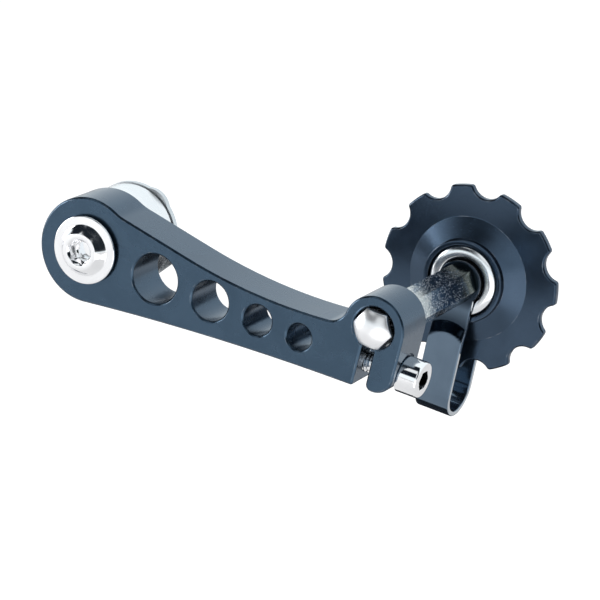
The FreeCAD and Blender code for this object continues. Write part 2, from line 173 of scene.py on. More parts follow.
# Rings that round the outer corner of a rim, from its flank to its level
def quarterRings(outer, level, fillet, side, count=6):
    return [
        (outer - fillet + fillet * math.cos(turn), 0, level - side * fillet * (1 - math.sin(turn)))
        for turn in fractions(0, math.pi / 2, count)
    ]


# A screw thread along +Y from zero, as a closed rod. It is spun too long at both ends and then cut.
def threadedRod(radius, pitch, depth, length, endTaper, steps=48):
    bm = bmesh.new()
    rubbed = bm.faces.layers.float.new("edge")
    root = radius - depth
    side = [(radius, 0), (radius, pitch / 8), (root, pitch * 7 / 16), (root, pitch * 11 / 16), (radius, pitch)]
    verts = [bm.verts.new((r * mm, (y - 1.5 * pitch) * mm, 0)) for r, y in side]
    edges = [bm.edges.new(pair) for pair in zip(verts, verts[1:])]
    turns = math.ceil(length / pitch) + 3
    bmesh.ops.spin(
        bm, geom=verts + edges, cent=(0, 0, 0), axis=inward, dvec=inward * (pitch * mm / steps),
        angle=turns * math.tau, steps=turns * steps, use_merge=False,
    )
    bmesh.ops.remove_doubles(bm, verts=bm.verts, dist=meshing["threadWeld"] * mm)
    for height, outer in ((0, False), (length * mm, True)):
        everything = bm.verts[:] + bm.edges[:] + bm.faces[:]
        cut = bmesh.ops.bisect_plane(
            bm, geom=everything, plane_co=inward * height, plane_no=inward,
            clear_outer=outer, clear_inner=not outer,
        )
        rim = [item for item in cut["geom_cut"] if isinstance(item, bmesh.types.BMEdge)]
        bmesh.ops.contextual_create(bm, geom=rim)
    for vert in bm.verts:
        reach = math.hypot(vert.co.x, vert.co.z)
        most = (radius - endTaper) * mm + length * mm - vert.co.y
        if reach > most:
            vert.co.x *= most / reach
            vert.co.z *= most / reach
    bmesh.ops.recalc_face_normals(bm, faces=bm.faces)
    for face in bm.faces:
        face[rubbed] = 0.0
    return bm


# Both shells in one mesh
def joined(bm, other, place):
    other.transform(place)
    scrap = bpy.data.meshes.new("scrap")
    other.to_mesh(scrap)
    other.free()
    bm.from_mesh(scrap)
    bpy.data.meshes.remove(scrap)
    return bm


def standIn(piece, node, body, material):
    piece.data.materials.clear()
    piece.data.materials.append(material)
    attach(piece, body)
    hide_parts(node)


# Materials
def newMaterial(name):
    material = bpy.data.materials.new(name)
    material.use_nodes = True
    return material, material.node_tree, material.node_tree.nodes["Principled BSDF"]


def addNode(tree, kind, inputs=None, **settings):
    node = tree.nodes.new(kind)
    for key, value in settings.items():
        setattr(node, key, value)
    for key, value in (inputs or {}).items():
        if isinstance(value, bpy.types.NodeSocket):
            tree.links.new(value, node.inputs[key])
        else:
            node.inputs[key].default_value = value
    return node


def sums(tree, operation, first, second):
    return addNode(tree, "ShaderNodeMath", {0: first, 1: second}, operation=operation).outputs[0]


def product(tree, first, *others):
    for other in others:
        first = sums(tree, "MULTIPLY", first, other)
    return first


def vectorSums(tree, operation, *values):
    node = addNode(tree, "ShaderNodeVectorMath", dict(enumerate(values)), operation=operation)
    return node.outputs["Value" if operation in ("LENGTH", "DOT_PRODUCT") else "Vector"]


def spread(tree, value, fromLow, fromHigh, low=0.0, high=1.0):
    inputs = {"Value": value, "From Min": fromLow, "From Max": fromHigh, "To Min": low, "To Max": high}
    return addNode(tree, "ShaderNodeMapRange", inputs).outputs["Result"]


# The same for a length, with limits in millimetres
def spreadLength(tree, value, limits, low=0.0, high=1.0):
    start, end = limits
    return spread(tree, value, start * mm, end * mm, low, high)


def blendColours(tree, factor, first, second):
    node = addNode(tree, "ShaderNodeMix", {"Factor": factor}, data_type="RGBA")
    for socket, value in ((node.inputs[6], first), (node.inputs[7], second)):
        if isinstance(value, bpy.types.NodeSocket):
            tree.links.new(value, socket)
        else:
            socket.default_value = (*value, 1)
    return node.outputs[2]


def noise(tree, place, scale, detail, **others):
    inputs = {"Vector": place, "Scale": scale, "Detail": detail, **others}
    return addNode(tree, "ShaderNodeTexNoise", inputs).outputs["Fac"]


def addBump(tree, height, depth, under=None):
    inputs = {"Height": height, "Distance": depth * mm, "Strength": 1.0}
    if under is not None:
        inputs["Normal"] = under
    return addNode(tree, "ShaderNodeBump", inputs).outputs["Normal"]


# A group that takes a place and one length in millimetres, and gives plain values
def newGroup(name, label, value, gives):
    group = bpy.data.node_groups.new(name, "ShaderNodeTree")
    group.interface.new_socket(name="Vector", in_out="INPUT", socket_type="NodeSocketVector")
    length = group.interface.new_socket(name=label, in_out="INPUT", socket_type="NodeSocketFloat")
    length.default_value = value
    for output in gives:
        group.interface.new_socket(name=output, in_out="OUTPUT", socket_type="NodeSocketFloat")
    taken = addNode(group, "NodeGroupInput").outputs
    given = addNode(group, "NodeGroupOutput").inputs
    scale = sums(group, "DIVIDE", 1 / mm, taken[label])
    return group, taken["Vector"], scale, given


# Each pattern has its usual size, its detail, and the limits where it turns from nothing to full
patterns = {
    "grainSize": 0.1, "grainDetail": 2.0, "speckScale": 0.35, "speckDetail": 4.0, "speckLimits": (0.58, 0.72),
    "ringSpacing": 0.2, "ringDetail": 2.0, "smudgeSize": 8.0, "smudgeDetail": 3.0, "smudgeBend": 0.6,
    "smudgeLimits": (0.35, 0.65), "rubSize": 1.5, "rubDetail": 4.0, "rubLimits": (0.5, 0.68),
}


# Fine even grain, and the few specks that stand out of it
def makeGrain():
    group, place, scale, given = newGroup("fineGrain", "Size", patterns["grainSize"], ["Height", "Specks"])
    fine = noise(group, place, scale, patterns["grainDetail"])
    coarse = noise(group, place, product(group, scale, patterns["speckScale"]), patterns["speckDetail"])
    group.links.new(fine, given["Height"])
    group.links.new(spread(group, coarse, *patterns["speckLimits"]), given["Specks"])
    return group


# Rings left by a lathe round the local Y axis
def makeRings():
    group, place, scale, given = newGroup("latheRings", "Spacing", patterns["ringSpacing"], ["Height"])
    radius = vectorSums(group, "LENGTH", vectorSums(group, "MULTIPLY", place, (1, 0, 1)))
    inputs = {"W": product(group, radius, scale), "Scale": 1.0, "Detail": patterns["ringDetail"]}
    fine = addNode(group, "ShaderNodeTexNoise", inputs, noise_dimensions="1D").outputs["Fac"]
    group.links.new(fine, given["Height"])
    return group


# Broad soft patches, as handling leaves them
def makeSmudges():
    group, place, scale, given = newGroup("handling", "Size", patterns["smudgeSize"], ["Smudge"])
    broad = noise(group, place, scale, patterns["smudgeDetail"], Distortion=patterns["smudgeBend"])
    group.links.new(spread(group, broad, *patterns["smudgeLimits"]), given["Smudge"])
    return group


# Rounded edges rubbed here and there
def makeRub():
    group, place, scale, given = newGroup("rubbedEdge", "Size", patterns["rubSize"], ["Mask"])
    edge = addNode(group, "ShaderNodeAttribute", attribute_name="edge").outputs["Fac"]
    worn = spread(group, noise(group, place, scale, patterns["rubDetail"]), *patterns["rubLimits"])
    group.links.new(product(group, edge, worn), given["Mask"])
    return group


grainGroup = makeGrain()
ringGroup = makeRings()
smudgeGroup = makeSmudges()
rubGroup = makeRub()


def placeGroup(tree, group, inputs):
    return addNode(tree, "ShaderNodeGroup", inputs, node_tree=group).outputs


# Painted shade: one inside a ring round the local Y axis, between two radii and two heights, and nothing
# outside it
def hollowMask(tree, centred, hollow):
    height = addNode(tree, "ShaderNodeSeparateXYZ", {"Vector": centred}).outputs["Y"]
    radius = vectorSums(tree, "LENGTH", vectorSums(tree, "MULTIPLY", centred, (1, 0, 1)))
    inside = 1.0
    for value, (low, high) in ((radius, hollow["radii"]), (height, hollow["heights"])):
        inside = product(tree, inside, sums(tree, "GREATER_THAN", value, low * mm))
        inside = product(tree, inside, sums(tree, "LESS_THAN", value, high * mm))
    return inside


# What a finish has where its own values say nothing else
usualLook = {
    "metallic": 1.0, "refraction": 1.5, "centre": (0.0, 0.0, 0.0), "turn": (0.0, 0.0, 0.0),
    "smudgeSize": patterns["smudgeSize"], "specks": 0.0, "speckRoughness": 0.04, "rub": 0.0,
    "bare": (0.60, 0.62, 0.64), "seal": 0.0, "sealRoughness": 0.22, "paintedEdgeHighlight": None, "hollow": None,
    "ringDepth": 0.0,
}


# One metal finish: its tone drifts with handling, grain and rings move the gloss and the surface
def metalFinish(name, values):
    look = {**usualLook, **values}
    material, tree, shader = newMaterial(name)
    plain = {
        "Metallic": "metallic", "IOR": "refraction", "Coat Weight": "seal", "Coat Roughness": "sealRoughness",
    }
    for socket, key in plain.items():
        shader.inputs[socket].default_value = look[key]
    place = addNode(tree, "ShaderNodeTexCoord").outputs["Object"]
    inputs = {"Vector": place, "Location": Vector(look["centre"]) * mm, "Rotation": toRadians(look["turn"])}
    centred = addNode(tree, "ShaderNodeMapping", inputs, vector_type="TEXTURE").outputs["Vector"]
    grain = placeGroup(tree, grainGroup, {"Vector": place, "Size": look["grainSize"]})
    smudge = placeGroup(tree, smudgeGroup, {"Vector": place, "Size": look["smudgeSize"]})["Smudge"]
    rub = placeGroup(tree, rubGroup, {"Vector": place})["Mask"]
    tone = blendColours(tree, smudge, look["dark"], look["light"])
    if look["specks"]:
        tone = blendColours(tree, product(tree, grain["Specks"], look["specks"]), tone, look["speckColour"])
    tone = blendColours(tree, product(tree, rub, look["rub"]), tone, look["bare"])
    # Painted light from marks on the mesh: painted shade over the strap's step and eye, and a painted
    # highlight on its cut sides
    if look["paintedEdgeHighlight"]:
        for layer, colour in (("step", look["paintedStepShade"]), ("cut", look["paintedEdgeHighlight"])):
            marked = addNode(tree, "ShaderNodeAttribute", attribute_name=layer).outputs["Fac"]
            tone = blendColours(tree, marked, tone, colour)
    # Painted shade inside a ring: the groove under the hanger screw's flange and the pinch screw's socket
    if look["hollow"]:
        tone = blendColours(tree, hollowMask(tree, centred, look["hollow"]), tone, look["hollowTone"])
    tree.links.new(tone, shader.inputs["Base Color"])
    roughness = spread(tree, smudge, 0.0, 1.0, *look["roughness"])
    roughness = sums(tree, "ADD", roughness, product(tree, grain["Specks"], look["speckRoughness"]))
    tree.links.new(roughness, shader.inputs["Roughness"])
    bump = addBump(tree, grain["Height"], look["grainDepth"])
    if look["ringDepth"]:
        rings = placeGroup(tree, ringGroup, {"Vector": centred, "Spacing": look["ringSpacing"]})
        bump = addBump(tree, rings["Height"], look["ringDepth"], bump)
    tree.links.new(bump, shader.inputs["Normal"])
    return material


looks = {
    "armBlack": {
        "metallic": 0.92, "dark": (0.036, 0.073, 0.118), "light": (0.045, 0.087, 0.138),
        "roughness": (0.22, 0.3), "grainSize": 0.09, "grainDepth": 0.0006, "specks": 0.15,
        "speckColour": (0.08, 0.12, 0.16), "rub": 0.2, "seal": 0.42,
    },
    "strapBlack": {
        "metallic": 0.95, "dark": (0.125, 0.175, 0.235), "light": (0.140, 0.194, 0.258),
        "roughness": (0.08, 0.12), "grainSize": 0.25, "grainDepth": 0.0005, "smudgeSize": 6.0, "rub": 0.35,
        # Painted highlight for the strap's cut sides and painted shade for its step and eye
        "paintedEdgeHighlight": (0.50, 0.54, 0.58), "paintedStepShade": (0.012, 0.020, 0.032),
    },
    "pulleyBlack": {
        "metallic": 0.95, "dark": (0.038, 0.064, 0.102), "light": (0.046, 0.076, 0.120),
        "roughness": (0.20, 0.26), "grainSize": 0.12, "grainDepth": 0.0006, "ringSpacing": 0.16,
        "ringDepth": 0.006, "seal": 0.25, "centre": places["wheel"], "rub": 0.2,
    },
    "hangerChrome": {
        "dark": (0.90, 0.90, 0.91), "light": (0.96, 0.96, 0.97), "roughness": (0.07, 0.13), "grainSize": 0.3,
        "grainDepth": 0.0004, "ringSpacing": 0.16, "ringDepth": 0.0012,
        # Painted shade in the groove under the flange
        "hollow": {"radii": (5.3, 7.6), "heights": (-21.72, -20.8)}, "hollowTone": (0.02, 0.03, 0.045),
    },
    "pinchChrome": {
        "dark": (0.90, 0.90, 0.91), "light": (0.96, 0.96, 0.97), "roughness": (0.06, 0.11), "grainSize": 0.3,
        "grainDepth": 0.0004, "ringSpacing": 0.16, "ringDepth": 0.0006, "centre": (76.69, -15.1, -9.93),
        # Painted shade in the socket
        "turn": (0.0, 4.5, 90.0), "hollow": {"radii": (0.0, 2.36), "heights": (-4.93, -1.0)},
        "hollowTone": (0.02, 0.025, 0.03),
    },
    "axleChrome": {
        "dark": (0.88, 0.88, 0.89), "light": (0.95, 0.95, 0.96), "roughness": (0.07, 0.12), "grainSize": 0.3,
        "grainDepth": 0.0004, "ringSpacing": 0.16, "ringDepth": 0.0008, "centre": places["wheel"],
    },
    "spacerPlate": {
        "dark": (0.86, 0.87, 0.88), "light": (0.94, 0.94, 0.95), "roughness": (0.22, 0.32), "grainSize": 0.18,
        "grainDepth": 0.0012, "ringSpacing": 0.2, "ringDepth": 0.001,
    },
    "pressedPlate": {
        "dark": (0.62, 0.65, 0.67), "light": (0.72, 0.74, 0.76), "roughness": (0.24, 0.34), "grainSize": 0.18,
        "grainDepth": 0.0012, "smudgeSize": 5.0,
    },
    "washerPlate": {
        "dark": (0.80, 0.80, 0.79), "light": (0.90, 0.90, 0.89), "roughness": (0.22, 0.32), "grainSize": 0.18,
        "grainDepth": 0.0012, "ringSpacing": 0.2, "ringDepth": 0.0014, "centre": places["wheel"],
    },
    "capBright": {
        "dark": (0.83, 0.85, 0.87), "light": (0.90, 0.92, 0.94), "roughness": (0.17, 0.23), "grainSize": 0.3,
        "grainDepth": 0.0005, "ringSpacing": 0.18, "ringDepth": 0.0016, "centre": places["wheel"],
    },
    "shimDark": {
        "metallic": 0.9, "dark": (0.010, 0.011, 0.014), "light": (0.018, 0.019, 0.023),
        "roughness": (0.3, 0.4), "grainSize": 0.15, "grainDepth": 0.001, "ringSpacing": 0.15,
        "ringDepth": 0.001, "centre": places["wheel"],
    },
    "bearingGround": {
        "dark": (0.60, 0.60, 0.61), "light": (0.72, 0.72, 0.73), "roughness": (0.16, 0.24), "grainSize": 0.12,
        "grainDepth": 0.0008, "ringSpacing": 0.12, "ringDepth": 0.0012, "centre": places["wheel"],
    },
    "cagePressed": {
        "dark": (0.46, 0.46, 0.48), "light": (0.58, 0.58, 0.60), "roughness": (0.26, 0.36), "grainSize": 0.15,
        "grainDepth": 0.0012,
    },
}
finishes = {name: metalFinish(name, look) for name, look in looks.items()}
print("finishes ready", len(finishes))


# The plated bar of the axle: a polished nose, then a painted reflection along the bar, pale at the clamp, dark
# blue in the middle and darker at the pulley end. Bright dots fill the middle and fade towards the pulley.
axleLook = {
    "polished": (0.95, 0.95, 0.96), "noseRoughness": 0.33, "noseEnd": (-20.7, -20.4), "barRoughness": 0.16,
    # Painted reflection along the bar: pale at the clamp, dark blue in the middle, darker at the pulley end
    "pale": (0.84, 0.86, 0.84), "paleEnd": (-2.0, 1.5), "dark": (0.13, 0.22, 0.33),
    "paintedDarkEnd": (0.07, 0.085, 0.065), "paintedDarkEndStart": (13.0, 18.5), "wander": 5.0,
    "mottle": (0.46, 0.50, 0.52), "mottleSize": 1.6, "mottleShare": 0.2,
    "pitSize": 0.2, "pitDepth": 0.02, "pitDetail": 2.0, "pitRoughness": 0.6,
    "bright": (0.95, 0.97, 1.0), "dotSpacing": 0.31, "dotLimits": (0.20, 0.40), "dotChance": 0.95,
    "dotFade": 0.9, "dotShare": 0.85, "dotRoughness": 0.35, "dotMetal": 0.45,
}


def barFinish(name, look):
    material, tree, shader = newMaterial(name)
    place = addNode(tree, "ShaderNodeTexCoord").outputs["Object"]
    along = addNode(tree, "ShaderNodeSeparateXYZ", {"Vector": place}).outputs["Y"]
    mottle = placeGroup(tree, smudgeGroup, {"Vector": place, "Size": look["mottleSize"]})["Smudge"]
    drifted = sums(tree, "ADD", along, product(tree, sums(tree, "SUBTRACT", mottle, 0.5), look["wander"] * mm))
    plated = spreadLength(tree, along, look["noseEnd"])
    far = spreadLength(tree, drifted, look["paintedDarkEndStart"])
    # Painted reflection: the tone runs along the bar from pale through dark blue to the darker end
    tone = blendColours(tree, spreadLength(tree, drifted, look["paleEnd"]), look["pale"], look["dark"])
    tone = blendColours(tree, far, tone, look["paintedDarkEnd"])
    tone = blendColours(tree, product(tree, mottle, look["mottleShare"]), tone, look["mottle"])
    # Dots stand in some cells of a net, by chance, and more of them where the mottle is strong
    inputs = {"Vector": place, "Scale": 1 / (look["dotSpacing"] * mm)}
    cells = addNode(tree, "ShaderNodeTexVoronoi", inputs).outputs
    chance = addNode(tree, "ShaderNodeSeparateColor", {"Color": cells["Color"]}).outputs["Red"]
    chosen = sums(tree, "GREATER_THAN", chance, sums(tree, "SUBTRACT", look["dotChance"], mottle))
    fading = sums(tree, "SUBTRACT", 1.0, product(tree, far, look["dotFade"]))
    dots = product(tree, spread(tree, cells["Distance"], *look["dotLimits"], 1.0, 0.0), chosen, fading, plated)
    tree.links.new(spread(tree, dots, 0.0, 1.0, 1.0, look["dotMetal"]), shader.inputs["Metallic"])
    tone = blendColours(tree, product(tree, dots, look["dotShare"]), tone, look["bright"])
    tone = blendColours(tree, plated, look["polished"], tone)
    tree.links.new(tone, shader.inputs["Base Color"])
    roughness = spread(tree, plated, 0.0, 1.0, look["noseRoughness"], look["barRoughness"])
    roughness = sums(tree, "ADD", roughness, product(tree, dots, look["dotRoughness"]))
    tree.links.new(roughness, shader.inputs["Roughness"])
    scale = 1 / (look["pitSize"] * mm)
    pits = noise(tree, place, scale, look["pitDetail"], Roughness=look["pitRoughness"])
    tree.links.new(addBump(tree, product(tree, pits, plated), look["pitDepth"]), shader.inputs["Normal"])
    return material


finishes["axleBar"] = barFinish("axleBar", axleLook)

# Below its eye the outer leg of the strap steps out a little, along an arch. The step and the eye over it get
# painted shade, and the strap's cut sides below get a painted highlight.
strapStep = {
    "archX": 70.0, "archZ": -8.9, "archRadius": 8.5, "depth": 3.1, "rise": 0.72, "softEnd": 0.18,
    "front": 22.7, "rear": 34.7, "legRear": 24.5, "legShare": 0.85,
    "cutFrom": -3.0, "cutTo": -17.0, "levelCuts": 36, "leftSide": -8.0, "rightSide": 5.0, "uprightCuts": 20,
    "shadeAbove": 0.85, "shadeReach": 4.5, "shadeEnd": 0.12,
    "eyeShade": 0.9, "eyeBelow": -6.5, "eyeReach": 2.5, "cutBelow": -5.0, "cutFacing": 0.9,
}


# A step with short soft ends and an even slope between them
def easedStep(part, soft):
    if part < soft:
        return part * part / (2 * soft * (1 - soft))
    if part > 1 - soft:
        return 1 - (1 - part) ** 2 / (2 * soft * (1 - soft))
    return (part - soft / 2) / (1 - soft)


def stepOut(bm):
    step = strapStep
    axle = Vector(places["axle"]) * mm
    cuts = [(height, (0, 0, 1)) for height in fractions(step["cutFrom"], step["cutTo"], step["levelCuts"])]
    cuts += [(side, (1, 0, 0)) for side in fractions(step["leftSide"], step["rightSide"], step["uprightCuts"])]
    for reach, across in cuts:
        near = [f for f in bm.faces if f.calc_center_median().y < step["legRear"] * mm]
        geom = list({item for f in near for item in [f, *f.edges, *f.verts]})
        point = axle + Vector(across) * reach * mm
        bmesh.ops.bisect_plane(bm, geom=geom, plane_co=point, plane_no=across, dist=meshing["cutWeld"] * mm)
    radius = step["archRadius"]
    middle = Vector((step["archX"], 0, step["archZ"] - radius))
    paintedShadeLayer = bm.verts.layers.float.new("step")
    for vert in bm.verts:
        place = vert.co / mm - middle
        above = math.hypot(place.x, place.z) - radius
        part = min(max(-above / step["depth"], 0), 1) if place.z > 0 else 1
        share = (step["rear"] - vert.co.y / mm) / (step["rear"] - step["front"])
        share = min(max(share, 0), 1)
        vert.co.y -= step["rise"] * mm * share * easedStep(part, step["softEnd"])
        # Painted shade on the outer leg, over the step and on the eye
        if share > step["legShare"]:
            soft = step["shadeAbove"] * (1 - max(above, 0) / step["shadeReach"]) if part < 0.5 else 0
            eye = step["eyeShade"] * min((vert.co.z / mm - step["eyeBelow"]) / step["eyeReach"], 1)
            vert[paintedShadeLayer] = min(1, max(soft, eye, min(part, 1 - part) / step["shadeEnd"], 0))
    # Painted highlight: the strap's cut sides below the eye are marked paler
    paintedEdgeHighlight = bm.faces.layers.float.new("cut")
    bm.normal_update()
    for face in bm.faces:
        low = face.calc_center_median().z < step["cutBelow"] * mm
        face[paintedEdgeHighlight] = 1.0 if low and abs(face.normal.x) > step["cutFacing"] else 0.0


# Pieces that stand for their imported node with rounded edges
softPieces = {
    "armPlate": {"node": "arm", "body": "arm", "slot": "black_anodised", "finish": "armBlack", "edge": 0.10},
    "chainGuide": {
        "node": "guide_strap", "body": "guide", "slot": "black_strap", "finish": "strapBlack", "edge": 0.08,
        "shaping": stepOut,
    },
    "stopPlate": {
        "node": "stop_plate", "body": "hanger", "slot": "plated_steel", "finish": "pressedPlate", "edge": 0.16,
    },
}
for name, values in softPieces.items():
    piece = newPiece(name, softened(values["node"], values["edge"], values.get("shaping")))
    standIn(piece, values["node"], values["body"], finishes[values["finish"]])
print("rounded pieces ready", len(softPieces))

# Turned and hexagonal pieces, ring by ring: size, six-sided or round, and place along Y
nose = {"halfWidth": 4.0, "ball": ballSurface(6.0549, -17.1951, -1)}
noseRings = [(nose["halfWidth"] * part, part ** 2, nose["ball"]) for part in fractions(0.1, 1.0, 9)]
capRings = [
    (4.05, 0, 26.2), (5.2, 0, 26.2), (5.2, 0, 25.8), (7.2, 0, 25.35), (8.15, 0, 25.3), (8.15, 0, 25.0),
    (8.02, 0, 24.8), (7.75, 0, 24.62), (7.4, 0, 24.45), (7.05, 0, 24.32), (6.7, 0, 24.26), (5.9, 0, 24.25),
    (5.55, 0, 24.33), (5.3, 0, 24.65), (5.2, 0, 25.25), (4.05, 0, 25.25), (4.05, 0, 26.2),
]
shimRings = [(4.05, 0, 23.95), (5.1, 0, 23.95), (5.1, 0, 25.25), (4.05, 0, 25.25), (4.05, 0, 23.95)]


# The same rings behind the pulley, as its middle mirrors them
def otherSide(rings):
    return [(size, sixSided, 2 * places["wheel"][1] - level) for size, sixSided, level in rings]


turnedPieces = {
    "hexBar": {
        "node": "hex_axle", "body": "axle", "slot": "plated_steel", "finish": "axleBar", "edge": 0.12,
        "turn": -7.0, "rings": noseRings + [
            (4.0, 1, -20.0), (4.0, 1, 22.25), (3.8, 0.6, 22.65), (2.52, 0, 22.65), (2.52, 0, 7.75),
        ],
    },
    "spacerRing": {
        "node": "spacer", "body": "hanger", "slot": "plated_steel", "finish": "spacerPlate", "edge": 0.08,
        "bore": True, "rings": [
            (5.05, 0, -9.3), (10.8, 0, -9.3), (11.1, 0, -9.0), (11.1, 0, -1.9), (10.3, 0, -1.9),
            (10.3, 0, -1.4), (5.05, 0, -1.4), (5.05, 0, -9.3),
        ],
    },
    "roundWasher": {
        "node": "axle_washer", "body": "axle", "slot": "plated_steel", "finish": "washerPlate", "edge": 0.14,
        "bore": True, "rings": [
            (2.6, 0, 34.75), (5.0, 0, 34.75), (5.0, 0, 35.75), (2.6, 0, 35.75), (2.6, 0, 34.75),
        ],
    },
    "outerCap": {
        "node": "front_cap", "body": "axle", "slot": "bright_cap", "finish": "capBright", "edge": 0.14,
        "bore": True, "rings": capRings,
    },
    "innerCap": {
        "node": "rear_cap", "body": "axle", "slot": "bright_cap", "finish": "capBright", "edge": 0.14,
        "bore": True, "rings": otherSide(capRings),
    },
    "outerShim": {
        "node": "front_shim", "body": "axle", "slot": "dark_steel", "finish": "shimDark", "edge": 0.10,
        "bore": True, "rings": shimRings,
    },
    "innerShim": {
        "node": "rear_shim", "body": "axle", "slot": "dark_steel", "finish": "shimDark", "edge": 0.10,
        "bore": True, "rings": otherSide(shimRings),
    },
}
for name, values in turnedPieces.items():
    bm = ringStack(values["rings"], values["edge"], values.get("turn", 0.0), values.get("bore", False))
    bm.transform(Matrix.Translation(Vector(places[values["body"]]) * mm))
    standIn(newPiece(name, bm), values["node"], values["body"], finishes[values["finish"]])
print("turned pieces ready", len(turnedPieces))

# Pulley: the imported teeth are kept, and cone, hub and bore are drawn in from their inner rim
wheel = {
    "coneOuter": 14.3, "margin": 0.02, "edge": 0.08, "steps": 2, "rings": [
        (9.65, 0, 2.8), (9.65, 0, 3.9), (9.43, 0, 4.4), (8.4, 0, 4.4), (8.4, 0, 2.5), (8.0, 0, 2.5),
    ],
}


def makePulley():
    middle = Matrix.Translation(Vector(places["wheel"]) * mm)
    bm = mergedCopy("pulley")
    bm.transform(middle.inverted())
    reach = (wheel["coneOuter"] + wheel["margin"]) * mm
    inside = [face for face in bm.faces if all(math.hypot(v.co.x, v.co.z) < reach for v in face.verts)]
    bmesh.ops.delete(bm, geom=inside, context="FACES")
    dissolveFlat(bm)
    rims = [e for e in bm.edges if e.is_boundary]
    bores = []
    for side in (-1, 1):
        rim = [e for e in rims if e.verts[0].co.y * side > 0]
        rings = [(size, sixSided, level * side) for size, sixSided, level in wheel["rings"]]
        bores += addRings(bm, rim, rings)
    bmesh.ops.bridge_loops(bm, edges=bores)
    bmesh.ops.recalc_face_normals(bm, faces=bm.faces)
    roundEdges(bm, wheel["edge"], meshing["wheelEdge"], wheel["steps"])
    bm.transform(middle)
    return newPiece("toothedPulley", bm)


standIn(makePulley(), "pulley", "pulley", finishes["pulleyBlack"])
print("pulley ready")

# Screws, each drawn with its seat at zero and its head towards -Y, and a real thread on the shank.
# One ring's height follows its radius, which gives the hanger's socket a chamfer.
screws = {
    "hangerScrew": {
        "node": "hanger_bolt", "body": "hanger", "finish": "hangerChrome", "edge": 0.07, "socketTurn": -10.0,
        "seat": (0.0, 0.0, 0.0), "turn": (0.0, 0.0, 0.0), "points": 96, "rings": [
            (4.3, 0, 0.0), (4.3, 0, -1.2), (5.0, 0, -1.2), (5.0, 0, -20.9), (6.9, 0, -20.9), (6.9, 0, -21.7),
            (7.75, 0, -21.7), *quarterRings(7.75, -22.2, 0.32, -1), (5.8, 0, -22.2), (5.0, 0, -23.27),
            (4.15, 0, -24.3), (3.1, 0, -24.3), (2.5, 1, lambda radius: -21.2 - radius), (2.5, 1, -21.7),
            (2.2, 0, -21.7), (2.2, 0, -20.9),
        ],
        "thread": {"radius": 5.0, "pitch": 1.0, "depth": 0.58, "from": 0.0, "length": 10.0, "taper": 0.7},
    },
    "pinchScrew": {
        "node": "pinch_bolt", "body": "arm", "finish": "pinchChrome", "edge": 0.06, "socketTurn": 0.0,
        "seat": (76.6887, -15.1, -9.927), "turn": (0.0, 4.5, 90.0), "points": 72, "rings": [
            (2.5, 0, 1.0), (2.5, 0, 0.0), (4.1, 0, 0.0), *quarterRings(4.1, -5.0, 0.5, -1), (2.0, 1, -5.0),
            (2.0, 1, -2.4),
        ],
        "thread": {"radius": 2.5, "pitch": 0.8, "depth": 0.46, "from": 1.0, "length": 15.0, "taper": 0.5},
    },
    "axleScrew": {
        "node": "axle_bolt", "body": "axle", "finish": "axleChrome", "edge": 0.06, "socketTurn": 0.0,
        "seat": (71.0, 35.75, 0.0), "turn": (180.0, 0.0, 0.0), "points": 72, "rings": [
            (2.5, 0, 9.0), (2.5, 0, 0.0), *ballRings(4.981, 1.498, -1, fractions(4.75, 2.6, 6)),
            (1.5, 1, -2.75), (1.5, 1, -1.15),
        ],
        "thread": {"radius": 2.5, "pitch": 0.8, "depth": 0.46, "from": 9.0, "length": 16.0, "taper": 0.5},
    },
}
for name, values in screws.items():
    turnX, turnY, turnZ = toRadians(values["turn"])
    turned = Matrix.Rotation(turnY, 4, "Y") @ Matrix.Rotation(turnZ, 4, "Z") @ Matrix.Rotation(turnX, 4, "X")
    thread = values["thread"]
    shell = ringStack(values["rings"], values["edge"], values["socketTurn"], points=values["points"])
    rod = threadedRod(thread["radius"], thread["pitch"], thread["depth"], thread["length"], thread["taper"])
    shell = joined(shell, rod, Matrix.Translation(inward * thread["from"] * mm))
    shell.transform(Matrix.Translation(Vector(values["seat"]) * mm) @ turned)
    piece = newPiece(name, shell)
    standIn(piece, values["node"], values["body"], finishes[values["finish"]])
print("screws ready", len(screws))

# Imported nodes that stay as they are, by finish
balls = [f"ball_{number}" for number in range(1, 10)]
carried = {
    "bearingGround": ["bearing_inner_ring", "bearing_outer_ring", "front_shield", "rear_shield", *balls],
    "cagePressed": ["cage"],
    "washerPlate": ["sleeve"],
}
for finish, nodes in carried.items():
    for node in nodes:
        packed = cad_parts[node].data.materials
        packed.clear()
        packed.append(finishes[finish])
print("packed nodes dressed")


# Studio: a pale floor well under the part, so that it stays clear in every pose. It is lifted towards white,
# more so further away, and so it has no far edge.
studio = {
    "floorHeight": -100.0, "floorReach": 4000.0, "floorTone": (0.80, 0.81, 0.82), "floorSquares": 8,
    "floorMirror": 0.1, "seenLift": (0.42, 0.85), "mirroredLift": (0.08, 0.45), "liftReach": (300.0, 2600.0),
    "mattRoughness": 0.9, "ambient": 0.55, "seenWhite": 1.0,
    "cardFrom": (-400.0, 15.0), "cardTo": (100.0, 260.0), "cardHeight": -99.0,
    "cardTone": (0.012, 0.016, 0.022),
}
white = (1, 1, 1, 1)


def mattFinish(name, tone):
    material, tree, shader = newMaterial(name)
    shader.inputs["Roughness"].default_value = studio["mattRoughness"]
    shader.inputs["Base Color"].default_value = (*tone, 1)
    return material, tree, shader


# Rays that see the studio as the camera does
def seenRays(tree, path):
    return sums(tree, "MAXIMUM", path["Is Camera Ray"], path["Is Transmission Ray"])


